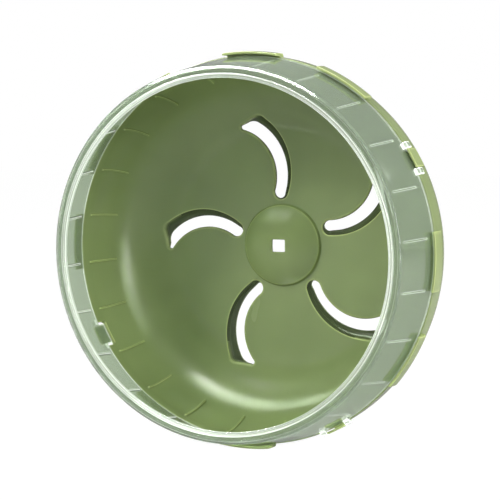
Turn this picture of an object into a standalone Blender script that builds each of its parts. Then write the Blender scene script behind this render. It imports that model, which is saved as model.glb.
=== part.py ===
# Hamster wheel drum: a green running cup with a clear ring clipped onto its front
# Inside the model z runs along the axle towards the open front, and the axle_line empty
# turns it so that the front faces -Y and +Z is up

import math

import bmesh
import bpy

# Running cup
track_radius = 0.1008
cup_wall = 0.0020
cup_depth = 0.0450
straight_depth = 0.0070

# Hub in the middle of the cup's disc
hub_radius = 0.0219
hub_step = 0.0017
hub_skirt = 0.0008
dome_rise = 0.0053
socket_width = 0.0078
socket_height = 0.0068

# Swirl slots: from beside the hub out to the bend, with a ledge on their rounder side
slot_hub_distance = 0.0088
slot_bend_reach = 0.0069
slot_gap_width = 0.0058
slot_gap_shift = 0.0010
slot_ledge_width = 0.0031
slot_ledge_shift = 0.0018
slot_ledge_depth = 0.0028
slot_wall = 0.0014

# Grip ribs on both pieces, each ending at a distance from the disc, the joint or the front
rib_width = 0.0015
rib_height = 0.0009
rib_root = 0.0006
cup_rib_disc_margin = 0.0184
cup_rib_rim_margin = 0.0068
ring_rib_rear_margin = 0.0062
ring_rib_front_margin = 0.0071

# Clear ring
ring_wall = 0.0015
ring_depth = 0.0370
mouth_radius = 0.0903
lip_outer_radius = 0.0967
lip_thickness = 0.0020
lip_bead_width = 0.0025
lip_bead_drop = 0.0012
lip_shoulder = 0.0016
lip_recess = 0.0005

# Green lips that reach forward over the ring's rear edge
guard_overlap = 0.0060
guard_reach = 0.0055
guard_thickness = 0.0020
guard_taper = 0.0003
guard_root = 0.0006

# Snaps: a clear tongue in a notch of the cup, under a green hood, between two clear lugs
notch_depth = 0.0078
tongue_length = 0.0058
hood_overlap = 0.0105
hood_rise = 0.0030
hood_reach = 0.0036
hood_thickness = 0.0017
lug_overlap = 0.0030
lug_reach = 0.0034
lug_thickness = 0.0015
lug_root = 0.0004

# Clearances, the overrun of every cut, and the distance at which points are merged
joint_gap = 0.0003
side_gap = 0.0004
guard_gap = 0.0010
overrun = 0.0040
merge_distance = 0.00001

# Angles round the axle, from the right hand side
joint_turn = math.radians(-1.4)
rib_turn = math.radians(5.4)
guard_half = math.radians(8.5)
notch_half = math.radians(4.0)
tongue_half = math.radians(3.2)
hood_half = math.radians(2.9)
lug_from_half = math.radians(3.1)
lug_to_half = math.radians(5.1)
slot_start_turn = math.radians(9.3)
slot_end_turn = math.radians(23.1)
slot_sweep = math.radians(97.8)
slot_tip_lead = math.radians(3.8)
slot_gap_end_lag = math.radians(15.3)
slot_front_end_lag = math.radians(20.8)
sharp_angle = math.radians(28)

# How many of each, and how finely the round shapes are divided
slot_count = 5
rib_count = 24
joint_places = 12
snap_count = 4
turn_steps = 72
dome_steps = 6
bend_steps = 12
slot_steps = 12
slot_tip_steps = 6
cup_rib_steps = 7
ring_rib_steps = 2
guard_steps = 6
snap_steps = 4
tongue_steps = 2

# The outside, the inside and the axle socket have their facets' edges at unlike angles
facet_turn = 2 * math.pi / turn_steps / 3


def clear_scene():
    for thing in list(bpy.data.objects):
        bpy.data.objects.remove(thing, do_unlink=True)


def make_collection(name):
    collection = bpy.data.collections.new(name)
    bpy.context.scene.collection.children.link(collection)
    return collection


def make_material(name, color, roughness, transmission):
    material = bpy.data.materials.new(name)
    material.use_nodes = True
    shader = material.node_tree.nodes["Principled BSDF"]
    shader.inputs["Base Color"].default_value = (*color, 1)
    shader.inputs["Roughness"].default_value = roughness
    shader.inputs["Metallic"].default_value = 0
    shader.inputs["Transmission Weight"].default_value = transmission
    return material


def place(name, mesh, collection, parent, height=0):
    thing = bpy.data.objects.new(name, mesh)
    collection.objects.link(thing)
    thing.parent = parent
    thing.location.z = height
    return thing


def hide_tool(thing):
    thing.hide_render = True
    thing.display_type = "WIRE"
    return thing


def combine(target, tool, operation):
    boolean = target.modifiers.new(f"{operation.lower()}_{tool.name}", "BOOLEAN")
    boolean.operation = operation
    boolean.solver = "EXACT"
    boolean.object = tool


def evaluated_mesh(thing):
    bpy.context.view_layer.update()
    depsgraph = bpy.context.evaluated_depsgraph_get()
    return bpy.data.meshes.new_from_object(thing.evaluated_get(depsgraph))


def turned(name, profile, collection, parent, height=0, start=0):
    # a (radius, along) outline turned round the axle, closed unless it starts on the axle
    mesh = bpy.data.meshes.new(name)
    points = [(radius * math.cos(start), radius * math.sin(start), along) for radius, along in profile]
    edges = [(index, index + 1) for index in range(len(points) - 1)]
    if profile[0][0] > 0:
        edges.append((len(points) - 1, 0))
    mesh.from_pydata(points, edges, [])
    thing = place(name, mesh, collection, parent, height)
    screw = thing.modifiers.new("turn", "SCREW")
    screw.axis = "Z"
    screw.steps = turn_steps
    screw.render_steps = turn_steps
    screw.use_merge_vertices = True
    screw.merge_threshold = merge_distance
    return thing


def add_arc_block(form, profile, middle, half, steps):
    # a closed (radius, along) outline swept round the axle between two angles
    start = middle - half
    corners = []
    for radius, along in profile:
        corners.append(form.verts.new((radius * math.cos(start), radius * math.sin(start), along)))
    face = form.faces.new(corners)
    bmesh.ops.spin(form, geom=[face, *face.edges, *face.verts], cent=(0, 0, 0), axis=(0, 0, 1),
                   angle=2 * half, steps=steps, use_duplicate=False)


def arc_blocks(name, blocks, collection, parent, height=0):
    form = bmesh.new()
    for profile, middle, half, steps in blocks:
        add_arc_block(form, profile, middle, half, steps)
    bmesh.ops.recalc_face_normals(form, faces=form.faces)
    mesh = bpy.data.meshes.new(name)
    form.to_mesh(mesh)
    form.free()
    return hide_tool(place(name, mesh, collection, parent, height))


def arc_points(centre, radius, start, end, count):
    points = []
    for index in range(count + 1):
        angle = start + (end - start) * index / count
        points.append((centre[0] + radius * math.cos(angle), centre[1] + radius * math.sin(angle)))
    return points


def round_tip(first, last, count):
    # the half circle from one point to the other, without those two points
    middle = ((first[0] + last[0]) / 2, (first[1] + last[1]) / 2)
    radius = math.dist(first, last) / 2
    start = math.atan2(first[1] - middle[1], first[0] - middle[0])
    return arc_points(middle, radius, start, start + math.pi, count)[1:-1]


def slot_band(outer, inner):
    # the crescent between two arcs, cut straight at its outer end and round near the hub
    outer_arc = arc_points(*outer, slot_steps)
    inner_arc = arc_points(*inner, slot_steps)
    return outer_arc + inner_arc[::-1] + round_tip(inner_arc[0], outer_arc[0], slot_tip_steps)


def slot_inside_arc():
    # the hollow side of the slot at the top, from its two ends and the angle that it sweeps
    start_radius = hub_radius + slot_hub_distance
    end_radius = disc_radius() + slot_bend_reach
    start = (-start_radius * math.sin(slot_start_turn), start_radius * math.cos(slot_start_turn))
    end = (-end_radius * math.sin(slot_end_turn), end_radius * math.cos(slot_end_turn))
    chord = math.dist(start, end)
    height_share = 1 / math.tan(slot_sweep / 2) / 2
    centre = ((start[0] + end[0]) / 2 - (end[1] - start[1]) * height_share,
              (start[1] + end[1]) / 2 + (end[0] - start[0]) * height_share)
    start_angle = math.atan2(start[1] - centre[1], start[0] - centre[0])
    return centre, chord / math.sin(slot_sweep / 2) / 2, start_angle, start_angle + slot_sweep


def slot_outer_arc(inside, width, shift, end_lag, wall=0):
    # a rounder arc beside the inside one, moved outwards, and longer by the wall at both ends
    centre, radius, start, end = inside
    outer_radius = radius + width + wall
    extra = wall / outer_radius
    return ((centre[0], centre[1] + shift), outer_radius,
            start - slot_tip_lead - extra, end - end_lag + extra)


def slot_plates(name, outline, low, high, collection, parent):
    # one flat plate for each slot, between two heights along the axle
    curve = bpy.data.curves.new(name, "CURVE")
    curve.dimensions = "2D"
    curve.fill_mode = "BOTH"
    curve.extrude = (high - low) / 2
    for number in range(slot_count):
        turn = 2 * math.pi * number / slot_count
        spline = curve.splines.new("POLY")
        spline.points.add(len(outline) - 1)
        for point, (side, out) in zip(spline.points, outline):
            point.co = (side * math.cos(turn) - out * math.sin(turn),
                        side * math.sin(turn) + out * math.cos(turn), 0, 1)
        spline.use_cyclic_u = True
    drawn = place(f"{name}_outline", curve, collection, parent, (high + low) / 2)
    mesh = evaluated_mesh(drawn)
    bpy.data.objects.remove(drawn, do_unlink=True)
    form = bmesh.new()
    form.from_mesh(mesh)
    bmesh.ops.remove_doubles(form, verts=form.verts, dist=merge_distance)
    bmesh.ops.recalc_face_normals(form, faces=form.faces)
    form.to_mesh(mesh)
    form.free()
    return hide_tool(place(name, mesh, collection, parent, (high + low) / 2))


def corner_radius():
    return cup_depth - straight_depth


def disc_radius():
    # the flat part of the disc ends where the bend begins
    return track_radius - corner_radius()


def cup_surface(offset):
    # the cup's outline from the axle to the end of its bend, at a distance behind the inside face
    dome_radius = (hub_radius ** 2 + dome_rise ** 2) / (2 * dome_rise)
    dome_angle = math.asin(hub_radius / dome_radius)
    points = []
    for index in range(dome_steps):
        angle = dome_angle * index / (dome_steps - 1)
        radius = (dome_radius - offset) * math.sin(angle)
        drop = dome_radius - (dome_radius - offset) * math.cos(angle)
        points.append((radius, hub_step + dome_rise - drop))
    points.append((points[-1][0] + hub_skirt, -offset))
    bend = corner_radius()
    for index in range(bend_steps):
        angle = math.pi / 2 * index / (bend_steps - 1)
        radius = disc_radius() + (bend + offset) * math.sin(angle)
        points.append((radius, bend - (bend + offset) * math.cos(angle)))
    return points


def cup_inside_at(along):
    # inside radius of the cup at a distance along the axle
    bend = corner_radius()
    rise = bend - min(along, bend)
    return disc_radius() + math.sqrt(bend ** 2 - rise ** 2)


def ring_inside_at(along):
    # inside radius of the ring, which narrows evenly from its rear edge to the back of its lip
    share = along / (ring_depth - lip_thickness)
    return track_radius + (lip_outer_radius - ring_wall - track_radius) * share


def rib_profile(radius_at, low, high, count):
    base = [low + (high - low) * index / count for index in range(count + 1)]
    proud = [(radius_at(along) - rib_height, along) for along in base[1:-1]]
    buried = [(radius_at(along) + rib_root, along) for along in base]
    return buried + proud[::-1]


def ribs(name, profile, collection, parent, height=0):
    blocks = []
    for number in range(rib_count):
        middle = rib_turn + 2 * math.pi * number / rib_count
        blocks.append((profile, middle, rib_width / track_radius / 2, 1))
    return arc_blocks(name, blocks, collection, parent, height)


def snap_places():
    # every third joint place holds a snap, and the others hold a guard lip
    step = 2 * math.pi / joint_places
    period = joint_places // snap_count
    return [joint_turn + step * place_number for place_number in range(joint_places)
            if place_number % period == 1]


def guard_places():
    step = 2 * math.pi / joint_places
    period = joint_places // snap_count
    return [joint_turn + step * place_number for place_number in range(joint_places)
            if place_number % period != 1]


def hollow_with_slots(cup, tools, axle_line):
    # a pocket stands behind each slot, and its ledge leaves a narrower gap right through
    inside = slot_inside_arc()
    gap = slot_outer_arc(inside, slot_gap_width, slot_gap_shift, slot_gap_end_lag)
    gap_inside = slot_outer_arc(inside, slot_gap_width / 4, 0, slot_gap_end_lag / 3)
    front_width = slot_gap_width + slot_ledge_width
    front_shift = slot_gap_shift + slot_ledge_shift
    front = slot_outer_arc(inside, front_width, front_shift, slot_front_end_lag)
    pocket = slot_outer_arc(inside, front_width, front_shift, slot_front_end_lag, slot_wall)
    pocket_inside = slot_outer_arc(inside, slot_gap_width / 2, slot_gap_shift, slot_gap_end_lag / 3)
    ledge = -slot_ledge_depth
    back = ledge - slot_wall
    top = corner_radius()
    pockets = slot_plates("slot_pockets", slot_band(pocket, pocket_inside), back, top, tools, axle_line)
    combine(cup, pockets, "UNION")

    mouth = (track_radius, cup_depth + overrun)
    hollow_profile = [(0, mouth[1]), mouth, *cup_surface(0)[::-1]]
    hollow = turned("cup_hollow", hollow_profile, tools, axle_line, start=2 * facet_turn)
    combine(cup, hide_tool(hollow), "DIFFERENCE")

    recesses = slot_plates("slot_recesses", slot_band(front, inside), ledge, top, tools, axle_line)
    combine(cup, recesses, "DIFFERENCE")
    gaps = slot_plates("slot_gaps", slot_band(gap, gap_inside), back - overrun, top, tools, axle_line)
    combine(cup, gaps, "DIFFERENCE")


def add_joint_details(cup, tools, axle_line):
    # the cup's half of the joint: notches for the tongues, guard lips and snap hoods
    outer_radius = track_radius + cup_wall
    notch_floor = cup_depth - notch_depth
    notch = [(track_radius - overrun, notch_floor), (outer_radius + overrun, notch_floor),
             (outer_radius + overrun, cup_depth + overrun), (track_radius - overrun, cup_depth + overrun)]
    notch_blocks = [(notch, middle, notch_half, snap_steps) for middle in snap_places()]
    combine(cup, arc_blocks("snap_notches", notch_blocks, tools, axle_line), "DIFFERENCE")

    guard_inside = track_radius + ring_wall + guard_gap
    guard_top = outer_radius + guard_thickness
    guard_rear = cup_depth - guard_overlap
    guard = [(outer_radius - guard_root, guard_rear - guard_root),
             (guard_top, guard_rear + guard_thickness), (guard_top, cup_depth),
             (guard_top - guard_taper, cup_depth + guard_reach),
             (guard_inside, cup_depth + guard_reach), (guard_inside, cup_depth - guard_root),
             (outer_radius - guard_root - side_gap, cup_depth - guard_root)]
    guard_blocks = [(guard, middle, guard_half, guard_steps) for middle in guard_places()]
    combine(cup, arc_blocks("guard_lips", guard_blocks, tools, axle_line), "UNION")

    hood_top = outer_radius + hood_thickness
    hood_rear = cup_depth - hood_overlap
    hood = [(outer_radius - guard_root, hood_rear - guard_root * hood_rise / hood_thickness),
            (hood_top, hood_rear + hood_rise), (hood_top, cup_depth + hood_reach),
            (guard_inside, cup_depth + hood_reach), (guard_inside, notch_floor - guard_root),
            (outer_radius - guard_root, notch_floor - guard_root)]
    hood_blocks = [(hood, middle, hood_half, snap_steps) for middle in snap_places()]
    combine(cup, arc_blocks("snap_hoods", hood_blocks, tools, axle_line), "UNION")


def build_cup(parts, tools, axle_line):
    rim = (track_radius + cup_wall, cup_depth)
    profile = [(0, cup_depth), rim, *cup_surface(cup_wall)[::-1]]
    cup = turned("running_cup", profile, parts, axle_line, start=facet_turn)
    hollow_with_slots(cup, tools, axle_line)
    add_joint_details(cup, tools, axle_line)
    rib_rim_end = cup_depth - cup_rib_rim_margin
    rib = rib_profile(cup_inside_at, cup_rib_disc_margin, rib_rim_end, cup_rib_steps)
    combine(cup, ribs("cup_ribs", rib, tools, axle_line), "UNION")

    form = bmesh.new()
    bmesh.ops.create_cube(form, size=1)
    bmesh.ops.scale(form, vec=(socket_width, socket_height, socket_width), verts=form.verts)
    socket_mesh = bpy.data.meshes.new("axle_socket")
    form.to_mesh(socket_mesh)
    form.free()
    wall_middle = hub_step + dome_rise - cup_wall / 2
    socket = hide_tool(place("axle_socket", socket_mesh, tools, axle_line, wall_middle))
    combine(cup, socket, "DIFFERENCE")
    return cup


def ring_profile():
    # from the mouth over the lip, down the outside to the rear edge and back up the inside
    back = ring_depth - lip_thickness
    bead = mouth_radius + lip_bead_width
    return [(mouth_radius, ring_depth - lip_bead_width / 2),
            (mouth_radius + lip_bead_width / 4, ring_depth - lip_recess / 2),
            (mouth_radius + lip_bead_width / 2, ring_depth),
            (bead, ring_depth - lip_recess),
            (lip_outer_radius - lip_shoulder / 2, ring_depth - lip_recess),
            (lip_outer_radius - lip_recess, ring_depth - lip_shoulder / 2),
            (lip_outer_radius, ring_depth - lip_shoulder),
            (track_radius + ring_wall, 0),
            (track_radius, 0),
            (lip_outer_radius - ring_wall, back),
            (bead, back),
            (bead - lip_bead_width / 4, back - lip_bead_drop),
            (mouth_radius + lip_bead_width / 4, back - lip_bead_drop),
            (mouth_radius, back)]


def build_ring(parts, tools, axle_line):
    rear = cup_depth + joint_gap
    ring = turned("clear_ring", ring_profile(), parts, axle_line, rear)

    rib_front_end = ring_depth - ring_rib_front_margin
    rib = rib_profile(ring_inside_at, ring_rib_rear_margin, rib_front_end, ring_rib_steps)
    combine(ring, ribs("ring_ribs", rib, tools, axle_line, rear), "UNION")

    tongue = [(track_radius, -tongue_length), (track_radius + ring_wall, -tongue_length),
              (track_radius + ring_wall, lug_root), (track_radius, lug_root)]
    tongue_blocks = [(tongue, middle, tongue_half, tongue_steps) for middle in snap_places()]
    combine(ring, arc_blocks("snap_tongues", tongue_blocks, tools, axle_line, rear), "UNION")

    lug_inside = track_radius + cup_wall + side_gap
    lug_outside = lug_inside + lug_thickness
    wall_middle = track_radius + ring_wall / 2
    lug = [(lug_inside, -lug_overlap), (lug_outside, -lug_overlap),
           (lug_outside, lug_reach - lug_thickness), (lug_inside - lug_root, lug_reach),
           (wall_middle, lug_reach), (wall_middle, lug_root), (lug_inside, lug_root)]
    lug_turn = (lug_from_half + lug_to_half) / 2
    lug_half = (lug_to_half - lug_from_half) / 2
    lug_blocks = []
    for snap in snap_places():
        for side in (-1, 1):
            lug_blocks.append((lug, snap + side * lug_turn, lug_half, 1))
    combine(ring, arc_blocks("snap_lugs", lug_blocks, tools, axle_line, rear), "UNION")
    return ring


def finish(thing, material):
    # the cuts are applied, because sharp edges are found on the cut shape
    mesh = evaluated_mesh(thing)
    mesh.shade_smooth()
    mesh.set_sharp_from_angle(angle=sharp_angle)
    mesh.materials.clear()
    mesh.materials.append(material)
    thing.modifiers.clear()
    thing.data = mesh
    triangles = sum(len(face.vertices) - 2 for face in mesh.polygons)
    print(f"{thing.name}: {triangles} triangles")


def main():
    clear_scene()
    parts = make_collection("hamster_wheel")
    tools = make_collection("cutters")
    axle_line = bpy.data.objects.new("axle_line", None)
    parts.objects.link(axle_line)
    axle_line.rotation_euler.x = math.pi / 2

    green = make_material("green_plastic", (0.17, 0.23, 0.085), 0.25, 0)
    clear = make_material("clear_plastic", (0.86, 0.93, 0.87), 0.06, 1)
    finish(build_cup(parts, tools, axle_line), green)
    finish(build_ring(parts, tools, axle_line), clear)


main()
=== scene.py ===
# Hamster wheel drum: a green moulded running cup with a clear ring snapped onto its front.
# Sizes are in metres. Inside the script a place is a radius and an angle round the axle, from the
# right over the top, and a depth along the axle, from the disc's inside face towards the open mouth.

import math

import bmesh
import bpy
import numpy as np
from mathutils import Matrix, Vector
from mathutils.geometry import delaunay_2d_cdt


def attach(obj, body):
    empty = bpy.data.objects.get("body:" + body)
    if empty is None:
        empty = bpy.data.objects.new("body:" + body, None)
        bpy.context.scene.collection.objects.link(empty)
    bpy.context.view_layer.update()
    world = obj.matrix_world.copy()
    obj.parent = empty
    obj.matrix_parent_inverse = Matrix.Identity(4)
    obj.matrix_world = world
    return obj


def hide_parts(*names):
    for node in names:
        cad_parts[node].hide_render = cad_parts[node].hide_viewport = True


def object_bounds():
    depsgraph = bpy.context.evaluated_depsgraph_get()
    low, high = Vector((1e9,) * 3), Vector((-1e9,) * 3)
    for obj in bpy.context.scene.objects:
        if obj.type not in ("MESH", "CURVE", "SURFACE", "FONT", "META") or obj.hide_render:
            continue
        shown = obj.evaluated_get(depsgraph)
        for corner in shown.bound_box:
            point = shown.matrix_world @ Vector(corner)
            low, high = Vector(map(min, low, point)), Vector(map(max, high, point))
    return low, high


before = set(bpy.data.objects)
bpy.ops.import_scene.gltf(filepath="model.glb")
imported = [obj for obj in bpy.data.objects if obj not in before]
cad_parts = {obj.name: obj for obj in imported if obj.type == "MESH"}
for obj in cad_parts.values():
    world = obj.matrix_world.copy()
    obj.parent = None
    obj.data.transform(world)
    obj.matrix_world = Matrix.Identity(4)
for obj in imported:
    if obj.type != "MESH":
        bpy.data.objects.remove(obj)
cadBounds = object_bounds()

mm = 0.001
weldDistance = 0.002 * mm


# Small geometry helpers

def around(radius, angle, depth):
    # x = radius cos(angle), y = -depth, z = radius sin(angle)
    radius, angle, depth = np.broadcast_arrays(radius, angle, depth)
    return np.stack([radius * np.cos(angle), -depth, radius * np.sin(angle)], -1)


def smooth(share):
    # 0 to 1 with level ends: 3 s^2 - 2 s^3
    share = np.clip(share, 0, 1)
    return share * share * (3 - 2 * share)


def gridFaces(rows, columns, closedRows=False):
    # the quads of a grid whose columns go all the way round
    index = np.arange(rows * columns).reshape(rows, columns)
    if closedRows:
        index = np.vstack([index, index[:1]])
    beside = np.roll(index, -1, axis=1)
    return np.stack([index[:-1], index[1:], beside[1:], beside[:-1]], -1).reshape(-1, 4)


def gridPatch(points, closedRows=False):
    rows, columns = points.shape[:2]
    return points.reshape(-1, 3), gridFaces(rows, columns, closedRows)


def makePiece(name, patches):
    # patches of (points, faces) become one welded mesh with its faces outwards
    points = []
    faces = []
    offset = 0
    for patchPoints, patchFaces in patches:
        points.append(patchPoints)
        faces.extend((np.asarray(face) + offset).tolist() for face in patchFaces)
        offset += len(patchPoints)
    mesh = bpy.data.meshes.new(name)
    mesh.from_pydata(np.concatenate(points).tolist(), [], faces)
    form = bmesh.new()
    form.from_mesh(mesh)
    bmesh.ops.remove_doubles(form, verts=form.verts, dist=weldDistance)
    bmesh.ops.recalc_face_normals(form, faces=form.faces)
    form.to_mesh(mesh)
    openEdges = sum(not edge.is_manifold for edge in form.edges)
    form.free()
    mesh.shade_smooth()
    piece = bpy.data.objects.new(name, mesh)
    bpy.context.scene.collection.objects.link(piece)
    print(f"{name}: {len(mesh.vertices)} points, {len(mesh.polygons)} faces, {openEdges} open edges")
    return piece


def lengthsAlong(line):
    steps = np.abs(np.diff(line))
    return np.concatenate([[0], np.cumsum(steps)])


def pointsAlong(line, places):
    # places are lengths along a line of complex numbers
    lengths = lengthsAlong(line)
    return np.interp(places, lengths, line.real) + 1j * np.interp(places, lengths, line.imag)


def filleted(corners, radii, steps=5, closed=True):
    # each corner of a polygon becomes an arc of its radius, that touches both its sides
    corners = [complex(*corner) for corner in corners]
    count = len(corners)
    line = []
    for number, (corner, radius) in enumerate(zip(corners, radii)):
        if radius == 0 or (not closed and number in (0, count - 1)):
            line.append(corner)
            continue
        toBack = corners[number - 1] - corner
        toNext = corners[(number + 1) % count] - corner
        back = toBack / abs(toBack)
        ahead = toNext / abs(toNext)
        half = abs(np.angle(ahead / back)) / 2
        reach = radius / math.tan(half)
        middle = back + ahead
        centre = corner + middle / abs(middle) * radius / math.sin(half)
        start = corner + back * reach - centre
        sweep = np.angle((corner + ahead * reach - centre) / start)
        line.extend(centre + start * np.exp(1j * sweep * step / steps) for step in range(steps + 1))
    return np.array(line)


def outward(loop):
    # the unit normal to the right of a closed line that runs anticlockwise
    along = np.roll(loop, -1) - np.roll(loop, 1)
    return -1j * along / np.abs(along)


def denseAt(start, end, step, places, fineStep, reach):
    # even steps from start to end, with finer ones around some places
    values = list(np.arange(start, end, step))
    for place in places:
        values = [value for value in values if abs(value - place) > reach]
        values.extend(np.arange(place - reach, place + reach + fineStep / 2, fineStep))
    values = sorted(value for value in values if start <= value < end - step / 3)
    return np.array(values + [end])


# Places round the axle: the grip ribs, and the joint's guard lips and snaps

rib = {
    "count": 24,
    "turn": math.radians(5.4),
    "height": 0.9 * mm,
    "halfTop": 0.35 * mm,
    "halfFoot": 0.85 * mm,
    "cupFrom": 18.4 * mm,
    "cupTo": 38.2 * mm,
    "ringFrom": 51.5 * mm,
    "ringTo": 75.2 * mm,
    "columns": (-1.35, -1.0, -0.8, -0.6, -0.4, -0.2, 0, 0.2, 0.4, 0.6, 0.8, 1.0, 1.35),   # in mm
    "clear": 1.5,                  # other columns keep off by this many times the last one's distance
    "fineStep": 0.25 * mm,         # between the rows at a rib's ends
    "fineReach": 1.25 * mm,
}
joint = {
    "turn": math.radians(-1.4),
    "places": 12,
    "snapEvery": 3,
    "snapFirst": 1,
    "snapReach": math.radians(5.8),     # the columns follow a snap's edge as far as this
    "snapStep": 0.45 * mm,
    "plainStep": math.radians(1.5),
}

jointAngles = joint["turn"] + 2 * math.pi * np.arange(joint["places"]) / joint["places"]
isSnap = np.arange(joint["places"]) % joint["snapEvery"] == joint["snapFirst"]
snapAngles = jointAngles[isSnap]
guardAngles = jointAngles[~isSnap]
ribAngles = rib["turn"] + 2 * math.pi * np.arange(rib["count"]) / rib["count"]


def edgeColumns(radius, edge, floor, half, corner):
    # columns round the axle, close together at the ribs, with a line along the piece's edge that
    # steps from the edge's depth to the floor's depth at each snap
    reach = joint["snapReach"]
    ribSides = np.array(rib["columns"]) * mm / radius
    plainStep = joint["plainStep"]
    corners = [(-reach * radius, edge), (-half * radius, edge), (-half * radius, floor),
               (half * radius, floor), (half * radius, edge), (reach * radius, edge)]
    bent = filleted(corners, [0, corner, corner, corner, corner, 0], 8, closed=False)
    count = round(lengthsAlong(bent)[-1] / joint["snapStep"])
    bent = pointsAlong(bent, np.linspace(0, lengthsAlong(bent)[-1], count))
    base = []
    angles = []
    depths = []
    for snap in snapAngles:
        base.append(np.linspace(snap - reach, snap + reach, count))
        angles.append(snap + bent.real / radius)
        depths.append(bent.imag)
        quarter = 2 * math.pi / len(snapAngles)
        plain = np.arange(snap + reach + plainStep, snap + quarter - reach, plainStep)
        turns = (plain[:, None] - ribAngles + math.pi) % (2 * math.pi) - math.pi
        plain = plain[np.abs(turns).min(axis=1) > rib["clear"] * ribSides[-1]]
        inQuarter = (ribAngles - snap) % (2 * math.pi) < quarter
        ribColumns = snap + (ribAngles[inQuarter] - snap) % (2 * math.pi)
        between = np.sort(np.concatenate([plain, (ribColumns[:, None] + ribSides).ravel()]))
        base.append(between)
        angles.append(between)
        depths.append(np.full(len(between), edge))
    return np.concatenate(base), np.concatenate(angles), np.concatenate(depths)


def edgeLine(radius, angles, depths, inset):
    # the edge's line moved into the material by an inset, at right angles to itself
    line = angles * radius + 1j * depths
    line = np.concatenate([line[-1:] - 2 * math.pi * radius, line, line[:1] + 2 * math.pi * radius])
    along = line[2:] - line[:-2]
    moved = line[1:-1] - 1j * along / np.abs(along) * inset
    return moved.real / radius, moved.imag


def ribHeight(angle, depth, radius, low, high):
    # a raised bar with round ends: its height falls with the distance from its middle line
    turns = (angle[..., None] - ribAngles + math.pi) % (2 * math.pi) - math.pi
    side = np.abs(turns).min(axis=-1) * radius
    past = np.maximum(np.maximum(low - depth, depth - high), 0)
    away = np.hypot(side, past)
    share = (rib["halfFoot"] - away) / (rib["halfFoot"] - rib["halfTop"])
    return rib["height"] * smooth(share)


# Running cup

cup = {
    "trackRadius": 100.8 * mm,
    "wall": 2.0 * mm,
    "depth": 45.0 * mm,
    "bendRadius": 38.0 * mm,
    "bendStep": 1.4 * mm,
    "faceEnd": 78.0 * mm,          # the disc's own mesh reaches this far up the bend
    "rimRound": 0.45 * mm,
    "evenDepth": 35.0 * mm,        # behind it the columns no longer follow the notches
    "evenClear": 0.5 * mm,         # the bend's rows end this far behind it
    "rimStep": 0.1,                # the rows from it to the rim, as shares of the way
    "rimFineStep": 0.025,
    "rimFineReach": 0.125,
    "notchHalf": math.radians(4.0),
    "notchFloor": 37.2 * mm,
    "notchCorner": 0.9 * mm,
}
face = {                           # the points that fill the disc's face, in mm
    "from": 28.5,
    "bend": 62,
    "to": 77.5,
    "flatStep": 2.2,
    "bendStep": 1.0,
    "clear": 0.8,                  # none stands closer to a slot
}
hub = {
    "radius": 21.9 * mm,
    "step": 1.7 * mm,
    "rise": 5.3 * mm,
    "skirt": 0.8 * mm,
    "shoulder": 1.2 * mm,
    "foot": 0.55 * mm,
    "border": 23.15 * mm,
    "roundFrom": 9 * mm,           # inside it the rings change towards the socket's shape
    "socketHalf": (3.9 * mm, 3.4 * mm),
    "socketEdge": 0.3 * mm,
    "socketSquareness": 16,
    "columns": 176,
}
slot = {
    "count": 5,
    "insideCentre": (-30.93 * mm, 37.45 * mm),
    "insideRadius": 26.95 * mm,
    "startTurn": math.radians(-15.45),
    "endTurn": math.radians(82.3),
    "tipLead": math.radians(3.8),
    "gapWidth": 5.8 * mm,
    "gapShift": 1.0 * mm,
    "gapEndLag": math.radians(13.4),
    "frontWidth": 8.9 * mm,
    "frontShift": 2.8 * mm,
    "frontEndLag": math.radians(20.8),
    "ledgeDepth": 2.8 * mm,
    "ledgeSlope": 0.9 * mm,
    "wall": 1.4 * mm,
    "frontRound": 0.45 * mm,
    "hollowRound": 1.1 * mm,
    "ledgeRound": 0.3 * mm,
    "backRound": 0.5 * mm,
    "border": 0.5 * mm,
    "frontCorner": 2.4 * mm,
    "insideCorner": 3.6 * mm,
    "footShare": 0.6,              # the rounding at the ledge's foot is this wide for its height
    "tipPoints": 80,
    "roundSide": 100,              # the points along each side
    "endSide": 34,
    "hollowSide": 96,
    "tipSteps": 14,                # the points over which the sides change at the tip
    "endSteps": 10,                # and before the far end
    "farFrom": 0.35,               # the share of the far end where its own change starts
}

discRadius = cup["trackRadius"] - cup["bendRadius"]
cupOutside = cup["trackRadius"] + cup["wall"]
pocketBack = slot["ledgeDepth"] + slot["wall"]


def faceDepth(radius, offset=0):
    # the disc's face: flat, then the bend's circle, at an offset behind the inside face
    bend = cup["bendRadius"] + offset
    past = np.clip(radius - discRadius, 0, bend)
    return cup["bendRadius"] - np.sqrt(bend ** 2 - past ** 2)


def arcLine(centre, radius, start, end, count=240):
    return complex(*centre) + radius * np.exp(1j * np.linspace(start, end, count))


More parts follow.
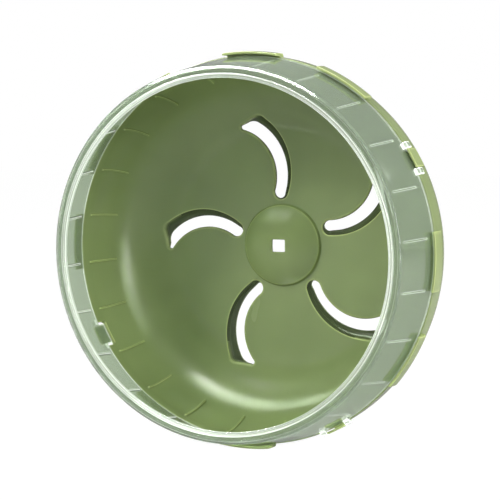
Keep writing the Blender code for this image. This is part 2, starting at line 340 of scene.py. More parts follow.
def slotLoop(width, shift, endLag, farCorner):
    # a closed line: from the tip's middle up the rounder arc, across the far end, down the hollow
    # arc; at the far end's corners a conic of both sides' ends and the corner takes their place
    centre = slot["insideCentre"]
    inside = arcLine(centre, slot["insideRadius"], slot["startTurn"], slot["endTurn"])
    outside = arcLine((centre[0], centre[1] + shift), slot["insideRadius"] + width,
                      slot["startTurn"] - slot["tipLead"], slot["endTurn"] - endLag)
    middle = (inside[0] + outside[0]) / 2
    tip = middle + (inside[0] - middle) * np.exp(1j * np.linspace(0, math.pi, slot["tipPoints"]))
    half = len(tip) // 2
    line = np.concatenate([tip[half:-1], outside, inside[::-1], tip[1:half + 1]])
    lengths = lengthsAlong(line)
    farPlace = lengths[half + len(outside) - 2]
    insidePlace = lengths[half + len(outside) - 1]
    places = np.concatenate([
        np.linspace(0, farPlace, slot["roundSide"], endpoint=False),
        np.linspace(farPlace, insidePlace, slot["endSide"], endpoint=False),
        np.linspace(insidePlace, lengths[-1], slot["hollowSide"], endpoint=False)])
    loop = pointsAlong(line, places)
    for place, reach in ((farPlace, farCorner), (insidePlace, slot["insideCorner"])):
        share = (places - place + reach) / (2 * reach)
        first, corner, last = pointsAlong(line, [place - reach, place, place + reach])
        pull = 2 * share * (1 - share) * abs(last - first) / (2 * reach)
        eased = (1 - share) ** 2 * first + pull * corner + share ** 2 * last
        eased = eased / ((1 - share) ** 2 + pull + share ** 2)
        loop = np.where((share > 0) & (share < 1), eased, loop)
    return loop


def slotShares():
    # weight is 1 on the rounder side and 0 on the hollow side, with soft changes at the tip and
    # along the far end; sharp is the same, but has already fallen to 0 where the far end starts
    index = np.arange(slot["roundSide"])
    rounder = smooth(0.5 + index / (2 * slot["tipSteps"]))
    farFrom = slot["farFrom"]
    far = 1 - smooth((np.arange(slot["endSide"]) / slot["endSide"] - farFrom) / (1 - farFrom))
    fromTip = np.arange(slot["hollowSide"], 0, -1)
    hollow = smooth(0.5 - fromTip / (2 * slot["tipSteps"]))
    weight = np.concatenate([rounder, far, hollow])
    ending = smooth((slot["roundSide"] - index) / slot["endSteps"])
    sharp = np.concatenate([rounder * ending, np.zeros(slot["endSide"]), hollow])
    return weight, sharp


def slotSurface():
    # sections (place, kind of depth, amount) from the front face down the sloping wall, over the
    # ledge, through the gap and round the pocket to the back face; the hollow side has only the
    # disc's edge
    front = slotLoop(slot["frontWidth"], slot["frontShift"], slot["frontEndLag"], slot["frontCorner"])
    gap = slotLoop(slot["gapWidth"], slot["gapShift"], slot["gapEndLag"], slot["insideCorner"])
    weight, sharp = slotShares()
    frontOut = outward(front)
    gapOut = outward(gap)
    quarter = np.linspace(0, math.pi / 2, 5)
    rise = slot["hollowRound"] + (slot["frontRound"] - slot["hollowRound"]) * sharp
    edge = slot["ledgeRound"]
    back = slot["backRound"]
    border = slot["border"]
    ledge = -slot["ledgeDepth"]
    rear = -pocketBack
    pocket = front + frontOut * slot["wall"]
    foot = front - frontOut * slot["ledgeSlope"] * sharp

    rounder = [(front + frontOut * (rise + border), "front", 0)]
    hollow = [(front + frontOut * (rise + border), "front", 0)]
    for turn in quarter:
        place = (front + frontOut * rise * (1 - math.sin(turn)), "front", -rise * (1 - math.cos(turn)))
        rounder.append(place)
        hollow.append(place)
    rounder.append((foot, "level", ledge + edge))
    for turn in quarter[1:]:
        place = foot - frontOut * edge * math.sin(turn) * slot["footShare"]
        rounder.append((place, "level", ledge + edge * math.cos(turn)))
    for turn in quarter:
        place = gap + gapOut * edge * (1 - math.sin(turn))
        rounder.append((place, "level", ledge - edge * (1 - math.cos(turn))))
    for turn in quarter:
        place = gap + gapOut * edge * (1 - math.cos(turn))
        rounder.append((place, "level", rear + edge * (1 - math.sin(turn))))
    for turn in quarter:
        place = pocket - frontOut * back * (1 - math.sin(turn))
        rounder.append((place, "level", rear + back * (1 - math.cos(turn))))
    for turn in quarter:
        place = pocket + frontOut * back * (1 - math.cos(turn))
        rounder.append((place, "back", -back * (1 - math.sin(turn))))
    rounder.append((pocket + frontOut * (back + border), "back", 0))

    wallSteps = len(rounder) - len(hollow) - 6
    for step in range(1, wallSteps + 1):
        hollow.append((front, "wall", step / (wallSteps + 1)))
    for turn in quarter:
        place = front + frontOut * edge * (1 - math.cos(turn))
        hollow.append((place, "back", edge * (1 - math.sin(turn))))
    hollow.append((front + frontOut * (back + border), "back", 0))

    def depthOf(place, kind, amount):
        radius = np.abs(place)
        if kind == "front":
            return faceDepth(radius) + amount
        if kind == "back":
            return faceDepth(radius, cup["wall"]) + amount
        if kind == "wall":
            top = faceDepth(radius) - rise
            bottom = faceDepth(radius, cup["wall"]) + edge
            return top + (bottom - top) * amount
        return np.full(len(place), amount)

    places = []
    depths = []
    for roundSection, hollowSection in zip(rounder, hollow):
        roundDepth = depthOf(*roundSection)
        hollowDepth = depthOf(*hollowSection)
        places.append(hollowSection[0] + (roundSection[0] - hollowSection[0]) * weight)
        depths.append(hollowDepth + (roundDepth - hollowDepth) * weight)
    places = np.array(places)
    depths = np.array(depths)
    for row, offset in ((0, 0), (-1, cup["wall"])):
        depths[row] = faceDepth(np.abs(places[row]), offset)
    return places, depths


def insideLoop(places, loop):
    # even-odd test: how many of the loop's sides lie straight to the right of each place
    here = loop[None, :]
    following = np.roll(loop, -1)[None, :]
    dots = places[:, None]
    spans = (here.imag > dots.imag) != (following.imag > dots.imag)
    drop = np.where(following.imag == here.imag, 1, following.imag - here.imag)
    crossing = here.real + (dots.imag - here.imag) / drop * (following.real - here.real)
    return (np.sum(spans & (dots.real < crossing), axis=1) % 2) == 1


def facePatch(borders, holes, offset):
    # the disc's face between its borders, with the slots left out, as triangles
    rings = []
    flat = np.arange(face["from"], face["bend"], face["flatStep"])
    bent = np.arange(face["bend"], face["to"], face["bendStep"])
    for radius in np.concatenate([flat, bent]) * mm:
        count = round(2 * math.pi * radius / (face["flatStep"] * mm))
        rings.append(radius * np.exp(2j * math.pi * (np.arange(count) + 0.5) / count))
    filler = np.concatenate(rings)
    keep = np.ones(len(filler), bool)
    for hole in holes:
        keep &= ~insideLoop(filler, hole)
        keep &= np.abs(filler[:, None] - hole[None, ::2]).min(axis=1) > face["clear"] * mm
    dots = np.concatenate([*borders, *holes, filler[keep]])
    edges = []
    start = 0
    for loop in [*borders, *holes]:
        index = start + np.arange(len(loop))
        edges.extend(zip(index.tolist(), np.roll(index, -1).tolist()))
        start += len(loop)
    coords = [Vector((dot.real / mm, dot.imag / mm)) for dot in dots]
    found, _, faces, _, _, _ = delaunay_2d_cdt(coords, edges, [], 0, 1e-5)
    found = np.array([(dot.x + 1j * dot.y) * mm for dot in found])
    faces = np.array(faces)
    middles = found[faces].mean(axis=1)
    keep = ~insideLoop(middles, borders[0])
    for hole in holes:
        keep &= ~insideLoop(middles, hole)
    depth = faceDepth(np.abs(found), offset)
    return around(np.abs(found), np.angle(found), depth), faces[keep]


def hubPatch():
    # rings from the back of the disc, up inside the hollow dome, through the square socket and
    # down over the dome to the disc's face; near the socket they change from a circle to a square
    angles = 2 * math.pi * np.arange(hub["columns"]) / hub["columns"]
    squareness = hub["socketSquareness"]
    halfWidth, halfHeight = hub["socketHalf"]
    square = (np.abs(np.cos(angles) / halfWidth) ** squareness
              + np.abs(np.sin(angles) / halfHeight) ** squareness) ** (-1 / squareness)
    sphere = (hub["radius"] ** 2 + hub["rise"] ** 2) / (2 * hub["rise"])
    edgeAngle = math.asin(hub["radius"] / sphere)
    wall = cup["wall"]
    edge = hub["socketEdge"]

    def domeDepth(radius, offset):
        return hub["step"] + hub["rise"] - sphere + np.sqrt((sphere - offset) ** 2 - radius ** 2)

    def domeProfile(offset):
        turn = np.linspace(math.asin(hub["roundFrom"] / sphere), edgeAngle, 12)
        radius = (sphere - offset) * np.sin(turn)
        corners = list(zip(radius, domeDepth(radius, offset)))
        corners.append((radius[-1] + hub["skirt"], -offset))
        corners.append((hub["border"], -offset))
        radii = [0] * (len(turn) - 1) + [hub["shoulder"], hub["foot"], 0]
        return filleted(corners, radii, 6, closed=False)

    def roundRings(offset):
        return [(np.full(len(angles), point.real), np.full(len(angles), point.imag))
                for point in domeProfile(offset)]

    def squareRings(offset):
        # from the socket's edge out to where the rings are round
        inner = square + edge
        reach = hub["roundFrom"] * (sphere - offset) / sphere - inner
        radii = [inner + reach * share for share in np.linspace(0, 1, 8)]
        return [(radius, domeDepth(radius, offset)) for radius in radii]

    rings = roundRings(wall)[::-1] + squareRings(wall)[-2::-1]
    for turn in np.linspace(0, math.pi / 2, 4)[1:]:
        radius = square + edge * (1 - math.sin(turn))
        rings.append((radius, domeDepth(square, wall) + edge * (1 - math.cos(turn))))
    for turn in np.linspace(0, math.pi / 2, 4):
        radius = square + edge * (1 - math.cos(turn))
        rings.append((radius, domeDepth(square, 0) - edge * (1 - math.sin(turn))))
    rings += squareRings(0)[1:-1] + roundRings(0)
    radius = np.array([entry[0] for entry in rings])
    depth = np.array([entry[1] for entry in rings])
    return around(radius, angles, depth)


def cupWalls():
    # rows up the inside of the bend and the track, over the rim and down the outside
    track = cup["trackRadius"]
    base, angles, depths = edgeColumns(track, cup["depth"], cup["notchFloor"], cup["notchHalf"],
                                       cup["notchCorner"])
    bend = cup["bendRadius"]
    ribEnd = bend * math.acos(1 - rib["cupFrom"] / bend)
    rimRound = cup["rimRound"]
    even = cup["evenDepth"]

    def bendRows(offset):
        # the bend's turn t, radius disc + r sin(t) and depth bend - r cos(t), with r = bend + offset
        radius = bend + offset
        first = math.asin((cup["faceEnd"] - discRadius) / radius)
        lengths = denseAt(0, bend * (math.pi / 2 - first), cup["bendStep"], [ribEnd - bend * first],
                          rib["fineStep"], rib["fineReach"])
        turn = first + lengths / bend
        turn = turn[bend - radius * np.cos(turn) < even - cup["evenClear"]]
        return turn, discRadius + radius * np.sin(turn), bend - radius * np.cos(turn)

    def wallRadius(depth, offset):
        rise = np.clip(bend - depth, 0, bend)
        return discRadius + np.sqrt((bend + offset) ** 2 - rise ** 2)

    rows = []
    turn, radius, depth = bendRows(0)
    angle = np.broadcast_to(base, (len(turn), len(base)))
    height = ribHeight(angle, depth[:, None] + 0 * angle, radius[:, None], rib["cupFrom"], rib["cupTo"])
    rows.extend(around(radius[:, None] - height * np.sin(turn)[:, None], angle,
                       depth[:, None] + height * np.cos(turn)[:, None]))

    nearAngle, nearDepth = edgeLine(track, angles, depths, rimRound)
    ribShare = (rib["cupTo"] - even) / (cup["depth"] - even)
    for share in denseAt(0, 1, cup["rimStep"], [ribShare], cup["rimFineStep"], cup["rimFineReach"]):
        angle = base + (nearAngle - base) * share
        depth = even + (nearDepth - even) * share
        radius = wallRadius(depth, 0)
        height = ribHeight(angle, depth, radius, rib["cupFrom"], rib["cupTo"])
        rows.append(around(radius - height, angle, depth))
    for turn in np.linspace(0, math.pi / 2, 5)[1:]:
        angle, depth = edgeLine(track, angles, depths, rimRound * (1 - math.sin(turn)))
        rows.append(around(wallRadius(depth, 0) + rimRound * (1 - math.cos(turn)), angle, depth))
    for turn in np.linspace(0, math.pi / 2, 5):
        angle, depth = edgeLine(track, angles, depths, rimRound * (1 - math.cos(turn)))
        radius = wallRadius(depth, cup["wall"]) - rimRound * (1 - math.sin(turn))
        rows.append(around(radius, angle, depth))
    for share in np.linspace(1, 0, 9)[1:]:
        angle = base + (nearAngle - base) * share
        depth = even + (nearDepth - even) * share
        rows.append(around(wallRadius(depth, cup["wall"]), angle, depth))
    turn, radius, depth = bendRows(cup["wall"])
    rows.extend(around(radius[::-1, None], base, depth[::-1, None]))
    return base, np.array(rows)


def makeCup():
    places, depths = slotSurface()
    turns = np.exp(2j * math.pi * np.arange(slot["count"]) / slot["count"])
    columnAngles, walls = cupWalls()
    hubAngles = 2 * math.pi * np.arange(hub["columns"]) / hub["columns"]
    patches = [gridPatch(walls), gridPatch(hubPatch())]
    borders = [hub["border"] * np.exp(1j * hubAngles), cup["faceEnd"] * np.exp(1j * columnAngles)]
    for row, offset in ((0, 0), (-1, cup["wall"])):
        holes = [places[row] * turn for turn in turns]
        patches.append(facePatch(borders, holes, offset))
    for turn in turns:
        turned = places * turn
        patches.append(gridPatch(around(np.abs(turned), np.angle(turned), depths)))
    return makePiece("runningCup", patches)


runningCup = makeCup()
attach(runningCup, "cup")
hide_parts("running_cup")
print("cup made")


# Clear ring

ring = {
    "rear": 45.3 * mm,
    "front": 82.3 * mm,
    "wall": 1.5 * mm,
    "wallStep": 1.6 * mm,
    "lipOuter": 96.7 * mm,
    "mouth": 90.3 * mm,
    "lipThickness": 2.0 * mm,
    "lipBack": 5 * mm,             # the lip's profile ends this far behind the front, outside
    "lipLead": 1.0 * mm,           # and starts this far behind the lip, inside
    "lipRadii": (0.6, 0.3, 0.35, 0.35, 0.4, 0.3, 0.4, 0.25, 0.25, 0.6, 1.2),   # in mm
    "beadWidth": 2.5 * mm,
    "beadDrop": 1.2 * mm,
    "shoulder": 1.6 * mm,
    "recess": 0.5 * mm,
    "edgeRound": 0.35 * mm,
    "evenDepth": 49.0 * mm,        # in front of it the columns no longer follow the tongues
    "ribShift": 0.6 * mm,          # from the ribs' rear ends to the middle of the finer rows there
    "tongueHalf": math.radians(3.2),
    "tongueEnd": 39.5 * mm,
    "tongueCorner": 0.9 * mm,
}


def ringInside(depth):
    # a cone from the track's radius at the rear to the lip
    length = ring["front"] - ring["lipThickness"] - ring["rear"]
    slope = (ring["lipOuter"] - ring["wall"] - cup["trackRadius"]) / length
    return cup["trackRadius"] + slope * np.maximum(depth - ring["rear"], 0)


def ringOutside(depth):
    # the same, from the rear edge's outside to the lip's shoulder
    length = ring["front"] - ring["shoulder"] - ring["rear"]
    slope = (ring["lipOuter"] - cup["trackRadius"] - ring["wall"]) / length
    return cup["trackRadius"] + ring["wall"] + slope * np.maximum(depth - ring["rear"], 0)


def lipProfile():
    # from the ring's inside round the lip to its outside, as corners in (radius, depth)
    front = ring["front"]
    mouth = ring["mouth"]
    back = front - ring["lipThickness"]
    bead = mouth + ring["beadWidth"]
    level = front - ring["recess"]
    start = back - ring["lipLead"]
    end = front - ring["lipBack"]
    corners = [
        (ringInside(start), start),
        (ringInside(back), back),
        (bead, back),
        (bead - 0.6 * mm, back - ring["beadDrop"]),
        (mouth + 0.5 * mm, back - ring["beadDrop"]),
        (mouth, back),
        (mouth, front - 0.6 * mm),
        (mouth + 0.9 * mm, front),
        (bead - 0.3 * mm, front),
        (bead, level),
        (ring["lipOuter"] - 1.5 * mm, level),
        (ring["lipOuter"], front - ring["shoulder"]),
        (ringOutside(end), end),
    ]
    return filleted(corners, [0, *[mm * radius for radius in ring["lipRadii"]], 0], 4, closed=False)


def makeRing():
    # rows from the rear edge up the ribbed inside, round the lip, down the outside and round the
    # rear edge, whose line runs out over each tongue
    track = cup["trackRadius"]
    base, angles, depths = edgeColumns(track, ring["rear"], ring["tongueEnd"], ring["tongueHalf"],
                                       ring["tongueCorner"])
    edgeRound = ring["edgeRound"]
    even = ring["evenDepth"]
    insideEnd = ring["front"] - ring["lipThickness"] - ring["lipLead"]
    ribEnds = [rib["ringFrom"] + ring["ribShift"], rib["ringTo"]]
    rows = []
    nearAngle, nearDepth = edgeLine(track, angles, depths, -edgeRound)

    def rearRows(radiusAt, shares):
        for share in shares:
            angle = base + (nearAngle - base) * share
            depth = even + (nearDepth - even) * share
            rows.append(around(radiusAt(depth), angle, depth))

    rearRows(ringInside, np.linspace(1, 0, 8)[:-1])
    for depth in denseAt(even, insideEnd, ring["wallStep"], ribEnds, rib["fineStep"], rib["fineReach"]):
        radius = ringInside(depth)
        height = ribHeight(base, np.full(len(base), depth), radius, rib["ringFrom"], rib["ringTo"])
        rows.append(around(radius - height, base, depth))
    for point in lipProfile()[1:]:
        rows.append(around(point.real, base, point.imag))
    for depth in np.linspace(ring["front"] - ring["lipBack"], even, 14)[1:]:
        rows.append(around(ringOutside(depth), base, depth))
    rearRows(ringOutside, np.linspace(0, 1, 8)[1:])
    for turn in np.linspace(0, math.pi / 2, 4)[1:]:
        angle, depth = edgeLine(track, angles, depths, -edgeRound * (1 - math.sin(turn)))
        rows.append(around(ringOutside(depth) - edgeRound * (1 - math.cos(turn)), angle, depth))
    for turn in np.linspace(0, math.pi / 2, 4)[:-1]:
        angle, depth = edgeLine(track, angles, depths, -edgeRound * (1 - math.cos(turn)))
        rows.append(around(ringInside(depth) + edgeRound * (1 - math.sin(turn)), angle, depth))
    return makePiece("clearRing", [gridPatch(np.array(rows), closedRows=True)])


clearRing = makeRing()
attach(clearRing, "ring")
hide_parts("clear_ring")
print("ring made")


# Blocks swept round the axle: guard lips, snap hoods and lugs

def roundedBlocks(name, corners, middles, block):
    # an outline in (radius, depth) is swept between two angles and drawn in at both rounded ends
    outline = filleted(corners, [mm * radius for radius in block["radii"]], 5)
    ahead = np.roll(outline, -1)
    signedArea = np.sum(outline.real * ahead.imag - outline.imag * ahead.real)
    if signedArea < 0:
        outline = outline[::-1]
    inward = -outward(outline)
    half = block["half"]
    endRound = block["endRound"]
    steps = block["steps"]
    ends = np.linspace(0, math.pi / 2, 5)
    drawn = endRound * (1 - np.sin(ends))
    inset = np.concatenate([drawn, np.zeros(steps), endRound * (1 - np.sin(ends[::-1]))])
    past = endRound * (1 - np.cos(ends)) / np.mean(outline.real)
    between = np.linspace(-half + past[-1], half - past[-1], steps + 2)[1:-1]
    angle = np.concatenate([-half + past, between, (half - past)[::-1]])
    loops = outline[None, :] + inward[None, :] * inset[:, None]
    patches = []
    for middle in middles:
        points = around(loops.real, middle + angle[:, None], loops.imag)
        flat, faces = gridPatch(points)
        last = len(flat) - len(outline)
        caps = [list(range(len(outline)))[::-1], list(range(last, last + len(outline)))]
        patches.append((flat, [*faces.tolist(), *caps]))
    return makePiece(name, patches)


root = 0.8 * mm                    # the lips and hoods start this far inside the cup's wall
guard = {
    "half": math.radians(8.5),
    "gap": 1.0 * mm,
    "thickness": 2.0 * mm,
    "overlap": 6.0 * mm,
    "reach": 5.5 * mm,
    "slope": 2.0 * mm,
    "taper": 0.3 * mm,
    "radii": (0.1, 0.8, 1.5, 0.45, 0.45, 0.05, 0.05),   # of the outline's corners, in mm
    "endRound": 0.35 * mm,
    "steps": 18,
}
guardInside = cup["trackRadius"] + ring["wall"] + guard["gap"]
guardOutside = cupOutside + guard["thickness"]
guardRear = cup["depth"] - guard["overlap"]
guardFront = cup["depth"] + guard["reach"]
guardCorners = [
    (cupOutside - root, guardRear - root),
    (guardOutside, guardRear + guard["slope"]),
    (guardOutside, cup["depth"]),
    (guardOutside - guard["taper"], guardFront),
    (guardInside, guardFront),
    (guardInside, cup["depth"] - root),
    (cupOutside - root, cup["depth"] - root),
]
guardLips = roundedBlocks("guardLips", guardCorners, guardAngles, guard)

hood = {
    "half": math.radians(2.9),
    "thickness": 1.7 * mm,
    "overlap": 10.5 * mm,
    "reach": 3.6 * mm,
    "slope": 3.0 * mm,
    "radii": (0.1, 1.2, 0.6, 0.45, 0.05, 0.05),
    "endRound": 0.35 * mm,
    "steps": 8,
}
hoodOutside = cupOutside + hood["thickness"]
hoodRear = cup["depth"] - hood["overlap"]
hoodFront = cup["depth"] + hood["reach"]
hoodCorners = [
    (cupOutside - root, hoodRear - root),
    (hoodOutside, hoodRear + hood["slope"]),
    (hoodOutside, hoodFront),
    (guardInside, hoodFront),
    (guardInside, cup["notchFloor"] - root),
    (cupOutside - root, cup["notchFloor"] - root),
]
snapHoods = roundedBlocks("snapHoods", hoodCorners, snapAngles, hood)
for piece in (guardLips, snapHoods):
    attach(piece, "cup")
print("guard lips and hoods made")

lug = {
    "middle": math.radians(4.1),   # from its snap's middle
    "half": math.radians(1.0),
    "clear": 0.4 * mm,
    "thickness": 1.5 * mm,
    "overlap": 3.0 * mm,
    "reach": 3.4 * mm,
    "slope": 1.5 * mm,
    "radii": (0.5, 0.6, 1.0, 0.1, 0.1, 0.2),
    "endRound": 0.5 * mm,
    "steps": 6,
}
lugInside = cupOutside + lug["clear"]
lugOutside = lugInside + lug["thickness"]
lugRear = ring["rear"] - lug["overlap"]
lugFront = ring["rear"] + lug["reach"]
lugCorners = [
    (lugInside, lugRear),
    (lugOutside, lugRear),
    (lugOutside, lugFront - lug["slope"]),
    (ringOutside(lugFront) - 0.3 * mm, lugFront),
    (ringOutside(ring["rear"]) - 0.5 * mm, ring["rear"] + 0.8 * mm),
    (lugInside, ring["rear"] + 0.6 * mm),
]
lugMiddles = np.concatenate([snapAngles - lug["middle"], snapAngles + lug["middle"]])
snapLugs = roundedBlocks("snapLugs", lugCorners, lugMiddles, lug)
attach(snapLugs, "ring")
print("lugs made")


# Painted highlights and painted shade, marked on the points for the materials

def pointData(piece):
    mesh = piece.data
    count = len(mesh.vertices)
    places = np.empty(count * 3)
    normals = np.empty(count * 3)
    mesh.vertices.foreach_get("co", places)
    mesh.vertex_normals.foreach_get("vector", normals)
    return places.reshape(-1, 3), normals.reshape(-1, 3)


# the share of painted highlight on a point, from how sharply the surface bends there
def edgeShare(piece, gain, least):
    # grows where the neighbours of a point lie below its tangent plane:
    # bend = 2 mean(-step . normal / step^2), which is 1 / (2 radius) across a rounded edge
    places, normals = pointData(piece)
    count = len(places)
    pairs = np.empty(len(piece.data.edges) * 2, int)
    piece.data.edges.foreach_get("vertices", pairs)
    first, second = pairs.reshape(-1, 2).T
    step = places[second] - places[first]
    square = np.sum(step * step, axis=1)
    fromFirst = -np.sum(step * normals[first], axis=1) / square
    fromSecond = np.sum(step * normals[second], axis=1) / square
    total = np.bincount(first, fromFirst, count) + np.bincount(second, fromSecond, count)
    uses = np.bincount(first, minlength=count) + np.bincount(second, minlength=count)
    return np.clip(2 * total / uses * gain - least, 0, 1)


def markPoints(piece, name, values):
    attribute = piece.data.attributes.new(name, "FLOAT", "POINT")
    attribute.data.foreach_set("value", np.asarray(values, float))


# painted highlights along the edges and painted shade in the slots' recesses, for the green pieces
greenShading = {
    "highlightGain": 1.1 * mm,
    "hubPlain": 8 * mm,            # no painted edge highlight within this radius
    "backPlain": 0.8 * mm,         # nor further back than this
    "rimPlain": 1 * mm,            # nor within this depth of the rim
    "rimBeyond": 0.1 * mm,         # as far out as this beyond the cup's outside
    "thinBeyond": 0.2 * mm,        # the thin guard lips and hoods start this far beyond it
    "thinHighlight": 0.25,              # and have at least this much painted highlight
    "shadeFrom": 0.4 * mm,        # the painted shade in the recesses starts this far behind the disc's inside face
    "wallTo": 1.9 * mm,            # and ends here on the walls
    "wallTurn": 0.5,               # where the normal points no more to the back than this
    "ledgeTo": 3.3 * mm,           # and here on the ledges
    "ledgeTurn": -0.3,
}
# painted white highlights along the clear ring's edges and on its bead
clearHighlights = {
    "highlightGain": 1.2 * mm,
    "highlightLeast": 0.25,
    "lipFrom": 79.6 * mm,
    "lipGain": 0.8 * mm,           # on the lip only the sharpest edges have the painted highlight in full
    "lipLeast": 0.5,
    "beadHighlight": 0.2,               # the bead has at least this much painted highlight
}


def paintGreenShading(piece):
    # "edge" is the painted highlight, a lighter line along the front edges; "hollow" is the painted shade
    # in the slots' recesses
    marks = greenShading
    places, normals = pointData(piece)
    radius = np.hypot(places[:, 0], places[:, 2])
    back = places[:, 1]
    turn = normals[:, 1]
    rim = (back < marks["rimPlain"] - cup["depth"]) & (radius < cupOutside + marks["rimBeyond"])
    plain = (radius < marks["hubPlain"]) | (back > marks["backPlain"]) | rim
    # painted highlight along the rounded edges
    edge = np.where(plain, 0, edgeShare(piece, marks["highlightGain"], 0))
    thin = radius > cupOutside + marks["thinBeyond"]
    markPoints(piece, "edge", np.maximum(edge, marks["thinHighlight"] * thin))
    # painted shade on the slots' recess walls and ledges
    wall = (back < marks["wallTo"]) & (turn < marks["wallTurn"])
    ledge = (back < marks["ledgeTo"]) & (turn < marks["ledgeTurn"])
    recess = (back > marks["shadeFrom"]) & (radius > hub["border"])
    markPoints(piece, "hollow", recess & (wall | ledge))


def paintClearHighlights(piece):
    # "edge" is the painted highlight, a white line along the edges and on the bead
    marks = clearHighlights
    places = pointData(piece)[0]
    lip = places[:, 1] < -marks["lipFrom"]
    bead = lip & (np.hypot(places[:, 0], places[:, 2]) < ring["mouth"] + ring["beadWidth"])
    lipEdge = edgeShare(piece, marks["lipGain"], marks["lipLeast"])
    edge = np.where(lip, lipEdge, edgeShare(piece, marks["highlightGain"], marks["highlightLeast"]))
    markPoints(piece, "edge", np.maximum(edge, marks["beadHighlight"] * bead))


# Materials

class Socket:
    # a shader socket that takes part in sums, each of which adds a Math node
    def __init__(self, shader, socket):
        self.shader = shader
        self.socket = socket

    def math(self, operation, other, swapped=False):
        values = [other, self] if swapped else [self, other]
        return self.shader.node("ShaderNodeMath", {"operation": operation}, values)

    def __add__(self, other):
        return self.math("ADD", other)

    def __radd__(self, other):
        return self.math("ADD", other, swapped=True)

    def __mul__(self, other):
        return self.math("MULTIPLY", other)

    def __rmul__(self, other):
        return self.math("MULTIPLY", other, swapped=True)


class Shader:
    # a node tree whose nodes are added by one method: settings first, then values or links
    def __init__(self, tree):
        self.tree = tree
        tree.nodes.clear()

    def node(self, kind, settings, inputs, output=0):
        added = self.tree.nodes.new(kind)
        for name, value in settings.items():
            if name == "stops":
                self.setStops(added.color_ramp, value)
            else:
                setattr(added, name, value)
        pairs = inputs.items() if isinstance(inputs, dict) else enumerate(inputs)
        for name, value in pairs:
            if isinstance(value, Socket):
                self.tree.links.new(value.socket, added.inputs[name])
            else:
                added.inputs[name].default_value = value
        return Socket(self, added.outputs[output]) if len(added.outputs) else added

    def setStops(self, ramp, stops):
        while len(ramp.elements) > 1:
            ramp.elements.remove(ramp.elements[-1])
        for number, (place, color) in enumerate(stops):
            element = ramp.elements[0] if number == 0 else ramp.elements.new(place)
            element.position = place
            element.color = color

    def noise(self, place, scale, detail):
        inputs = {"Vector": place, "Scale": scale, "Detail": detail}
        return self.node("ShaderNodeTexNoise", {}, inputs, "Fac")

    def mark(self, name):
        return self.node("ShaderNodeAttribute", {"attribute_name": name}, {}, "Fac")

    def blend(self, share, first, second):
        # a Mix node in colour mode, whose colours are its inputs 6 and 7
        return self.node("ShaderNodeMix", {"data_type": "RGBA"}, {0: share, 6: first, 7: second}, 2)


def newShader(name):
    material = bpy.data.materials.new(name)
    material.use_nodes = True
    return material, Shader(material.node_tree)


greenLook = {
    "dark": (0.190, 0.245, 0.095, 1),
    "light": (0.230, 0.292, 0.116, 1),
    "darkAt": 0.3,                 # of the clouds' noise
    "lightAt": 0.7,
    # painted shade for the slots' recesses
    "hollow": (0.062, 0.085, 0.032, 1),
    # painted highlight for the edges
    "edge": (0.44, 0.52, 0.20, 1),
    "cloudScale": 22,
    "grainScale": 1400,
    "waveScale": 34,
    "grainShare": 0.02,
    "bumpStrength": 0.25,
    "bumpDistance": 0.0006,
    "roughness": 0.19,
    "roughnessRange": 0.12,
    "refraction": 1.5,
}
clearLook = {
    "body": (0.50, 0.585, 0.465, 1),
    # painted white highlight for the edges and the bead
    "edge": (0.96, 0.98, 0.96, 1),
    # the painted highlight also glows, though the ring is no lamp
    "highlightGlow": (0.56, 0.56, 0.56, 1),
    "waveScale": 60,
    "bumpStrength": 0.07,
    "bumpDistance": 0.0004,
    "roughness": 0.07,
    "roughnessRange": 0.05,
    "transmission": 0.82,
    "refraction": 1.49,
}


def greenPlastic():
    look = greenLook
    material, shader = newShader("greenPlastic")
    place = shader.node("ShaderNodeTexCoord", {}, {}, "Object")
    clouds = shader.noise(place, look["cloudScale"], 2)
    grain = shader.noise(place, look["grainScale"], 2)
    waves = shader.noise(place, look["waveScale"], 1)
    stops = [(look["darkAt"], look["dark"]), (look["lightAt"], look["light"])]
    body = shader.node("ShaderNodeValToRGB", {"stops": stops}, {"Fac": clouds}, "Color")
    # painted shade in the recesses, then painted highlights along the edges
    shaded = shader.blend(shader.mark("hollow"), body, look["hollow"])
    color = shader.blend(shader.mark("edge"), shaded, look["edge"])
    bump = shader.node("ShaderNodeBump", {}, {
        "Strength": look["bumpStrength"], "Distance": look["bumpDistance"],
        "Height": waves + grain * look["grainShare"]}, "Normal")
    surface = shader.node("ShaderNodeBsdfPrincipled", {}, {
        "Base Color": color, "Roughness": look["roughness"] + look["roughnessRange"] * clouds,
        "Normal": bump, "IOR": look["refraction"]})
    shader.node("ShaderNodeOutputMaterial", {}, {"Surface": surface})
    return material


def clearPlastic():
    look = clearLook
    material, shader = newShader("clearPlastic")
    place = shader.node("ShaderNodeTexCoord", {}, {}, "Object")
    waves = shader.noise(place, look["waveScale"], 1)
    # painted white highlights on the edges and bead, which also glow
    edge = shader.mark("edge")
    body = shader.blend(edge, look["body"], look["edge"])
    glow = shader.blend(edge, (0, 0, 0, 1), look["highlightGlow"])
    bump = shader.node("ShaderNodeBump", {}, {
        "Strength": look["bumpStrength"], "Distance": look["bumpDistance"], "Height": waves}, "Normal")
    surface = shader.node("ShaderNodeBsdfPrincipled", {}, {
        "Base Color": body, "Roughness": look["roughness"] + look["roughnessRange"] * waves,
        "Transmission Weight": look["transmission"], "IOR": look["refraction"],
        "Emission Color": glow, "Emission Strength": 1, "Normal": bump})
    shader.node("ShaderNodeOutputMaterial", {}, {"Surface": surface})
    return material


green = greenPlastic()
clear = clearPlastic()
# the green pieces get painted highlights and painted shade, the clear ones painted highlights
for piece in (runningCup, guardLips, snapHoods):
    paintGreenShading(piece)
    piece.data.materials.append(green)
for piece in (clearRing, snapLugs):
    paintClearHighlights(piece)
    piece.data.materials.append(clear)
print("materials made")


# Floor, world, lamps and camera

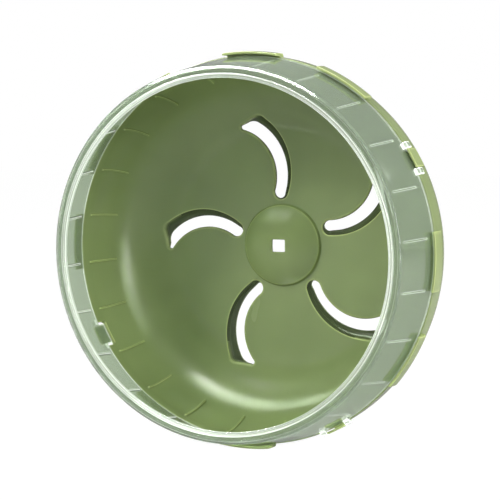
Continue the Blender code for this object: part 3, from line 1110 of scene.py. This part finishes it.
studio = {
    "floorHalf": 4.0,
    "floorMatte": (0.55, 0.55, 0.55, 1),
    "floorGlow": 1.075,
    "floorGlowShare": 0.92,
    "roomStrength": 0.14,
    "whiteStrength": 1,
    "glossShare": 0.2,
}


def viewedDirectly(shader):
    # 1 for rays that come from the camera, straight or through the clear ring, and less for gloss
    straight = shader.node("ShaderNodeLightPath", {}, {}, "Is Camera Ray")
    through = shader.node("ShaderNodeLightPath", {}, {}, "Is Transmission Ray")
    gloss = shader.node("ShaderNodeLightPath", {}, {}, "Is Glossy Ray")
    seen = straight + through + gloss * studio["glossShare"]
    return seen.math("MINIMUM", 1)


def makeFloor():
    lowest = cadBounds[0][2]
    side = studio["floorHalf"]
    mesh = bpy.data.meshes.new("floor")
    corners = [(-side, -side), (side, -side), (side, side), (-side, side)]
    mesh.from_pydata([(x, y, lowest) for x, y in corners], [], [(0, 1, 2, 3)])
    floor = bpy.data.objects.new("floor", mesh)
    bpy.context.scene.collection.objects.link(floor)
    material, shader = newShader("floorWhite")
    matte = shader.node("ShaderNodeBsdfDiffuse", {}, {"Color": studio["floorMatte"]})
    glow = shader.node("ShaderNodeEmission", {}, {"Color": (1, 1, 1, 1), "Strength": studio["floorGlow"]})
    share = viewedDirectly(shader) * studio["floorGlowShare"]
    mixed = shader.node("ShaderNodeMixShader", {}, {0: share, 1: matte, 2: glow})
    shader.node("ShaderNodeOutputMaterial", {}, {"Surface": mixed})
    mesh.materials.append(material)


def makeWorld():
    world = bpy.data.worlds.new("studio")
    world.use_nodes = True
    bpy.context.scene.world = world
    shader = Shader(world.node_tree)
    room, white = [shader.node("ShaderNodeBackground", {}, {"Color": (1, 1, 1, 1), "Strength": strength})
                   for strength in (studio["roomStrength"], studio["whiteStrength"])]
    mixed = shader.node("ShaderNodeMixShader", {}, {0: viewedDirectly(shader), 1: room, 2: white})
    shader.node("ShaderNodeOutputWorld", {}, {"Surface": mixed})


def addLamp(name, place, target, size, power, reflected):
    # a lamp either lights the surfaces or shows in their reflections
    light = bpy.data.lights.new(name, "AREA")
    light.shape = "RECTANGLE"
    light.size, light.size_y = size
    light.energy = power
    lamp = bpy.data.objects.new(name, light)
    bpy.context.scene.collection.objects.link(lamp)
    lamp.visible_diffuse = not reflected
    lamp.visible_glossy = reflected
    lamp.location = place
    lamp.rotation_euler = (Vector(target) - Vector(place)).to_track_quat("-Z", "Y").to_euler()


origin = (0, 0, 0)
lamps = [                          # name, place, target, size, watts, only reflected
    ("frontLamp", (-0.78, -1.08, 0.78), origin, (0.5, 0.5), 13.5, False),
    ("sideLamp", (1.25, -0.50, 0.55), origin, (0.6, 0.8), 18.5, False),
    ("topLamp", (-0.42, -0.25, 1.00), origin, (0.6, 0.35), 4, False),
    ("rimLamp", (1.05, 0.50, 0.85), origin, (0.6, 0.6), 9, False),
    ("arcLamp", (-0.39, -0.29, 1.00), (-0.33, 0, -0.05), (1.30, 0.34), 56, True),
    ("glintLamp", (-0.92, -0.40, 1.00), (0, 0, -0.05), (0.30, 0.20), 9, True),
    ("bandLamp", (1.23, -0.50, -0.10), origin, (0.26, 1.1), 12, True),
    ("hubLamp", (-0.38, -1.05, 0.80), origin, (0.09, 0.3), 1.0, True),
    ("lowLamp", (-0.50, -1.25, -0.16), origin, (0.22, 0.22), 0.8, True),
]
camera = {
    "place": Vector((0.3655, -0.8606, 0.0709)),
    "target": Vector((-0.0191, -0.0017, -0.0032)),
    "roll": math.radians(-0.31),
    "lens": 122.4,
    "sensor": 36.0,
}


def makeCamera():
    data = bpy.data.cameras.new("camera")
    data.lens = camera["lens"]
    data.sensor_width = camera["sensor"]
    data.sensor_fit = "HORIZONTAL"
    data.dof.use_dof = False
    seen = bpy.data.objects.new("camera", data)
    bpy.context.scene.collection.objects.link(seen)
    back = (camera["place"] - camera["target"]).normalized()
    right = Vector((0, 0, 1)).cross(back).normalized()
    up = back.cross(right)
    cosine = math.cos(camera["roll"])
    sine = math.sin(camera["roll"])
    rolledRight = right * cosine + up * sine
    rolledUp = up * cosine - right * sine
    turn = Matrix((rolledRight, rolledUp, back)).transposed()
    seen.matrix_world = Matrix.Translation(camera["place"]) @ turn.to_4x4()
    bpy.context.scene.camera = seen


makeFloor()
makeWorld()
for lamp in lamps:
    addLamp(*lamp)
makeCamera()
bpy.context.scene.view_settings.view_transform = "Standard"
print("stage made")
